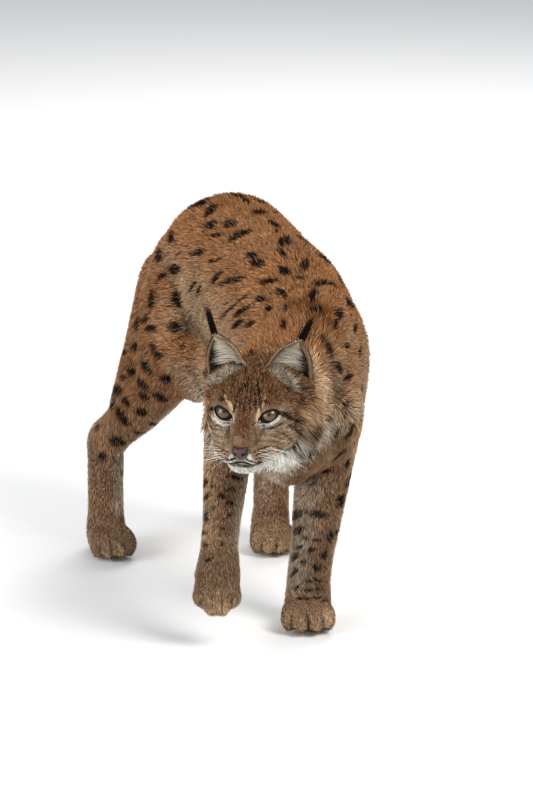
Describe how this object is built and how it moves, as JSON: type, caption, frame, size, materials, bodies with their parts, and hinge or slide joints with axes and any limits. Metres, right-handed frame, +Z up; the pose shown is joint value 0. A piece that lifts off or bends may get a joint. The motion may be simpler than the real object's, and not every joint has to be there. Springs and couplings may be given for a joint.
{
  "type": "eurasian lynx",
  "caption": "Life-size still Eurasian lynx walking with its head low and turned, right forepaw lifted, spotted coat, ear tufts and cheek ruff.",
  "frame": {"origin": "centre of the bounding box at the level of the three soles", "axes": "+Z up, the lynx walks towards -Y, its left side is towards +X"},
  "size_m": [0.4626, 0.9082, 0.6112],
  "materials": {
    "coat": "matte",
    "ear_coat": "matte",
    "eye": "gloss",
    "nose_leather": "satin"
  },
  "bodies": {
    "root": {"head": "coat", "neck": "coat", "torso": "coat", "tail": "coat", "foreleg_left": "coat", "foreleg_right": "coat", "forepaw_left": "coat", "forepaw_right": "coat", "hind_leg_left": "coat", "hind_leg_right": "coat", "hind_paw_left": "coat", "hind_paw_right": "coat", "ear_left": "ear_coat", "ear_right": "ear_coat", "eye_left": "eye", "eye_right": "eye", "nose": "nose_leather"}
  },
  "joints": []
}
